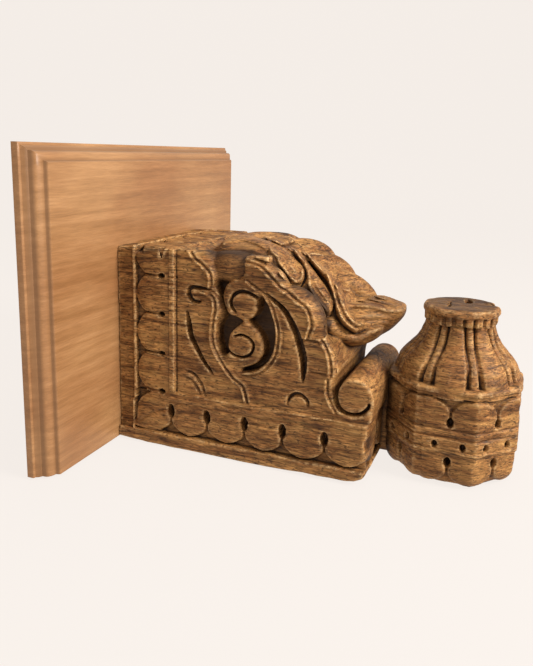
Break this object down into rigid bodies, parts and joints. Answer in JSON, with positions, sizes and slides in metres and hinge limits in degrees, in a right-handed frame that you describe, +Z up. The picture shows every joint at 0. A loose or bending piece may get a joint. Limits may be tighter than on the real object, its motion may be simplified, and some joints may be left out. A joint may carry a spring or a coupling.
{
  "type": "wooden corbel",
  "caption": "Carved timber wall corbel on a moulded backboard: petal bands, scrolled sides, an acanthus leaf, a rolled end and a standing lotus bud in front.",
  "frame": {"origin": "middle of the backboard's back face, where the piece is fixed to a wall", "axes": "+Z up, +Y from the corbel into the wall, +X to the right seen from the wall's open side looking at the wall along +Y"},
  "size_m": [0.338, 0.3495, 0.2555],
  "materials": {
    "board_wood": "satin sealed honey-brown hardwood",
    "old_wood": "aged waxed teak, worn golden on the edges and dark in the recesses"
  },
  "bodies": {
    "root": {"backboard": "board_wood", "corbel": "old_wood"}
  },
  "joints": []
}
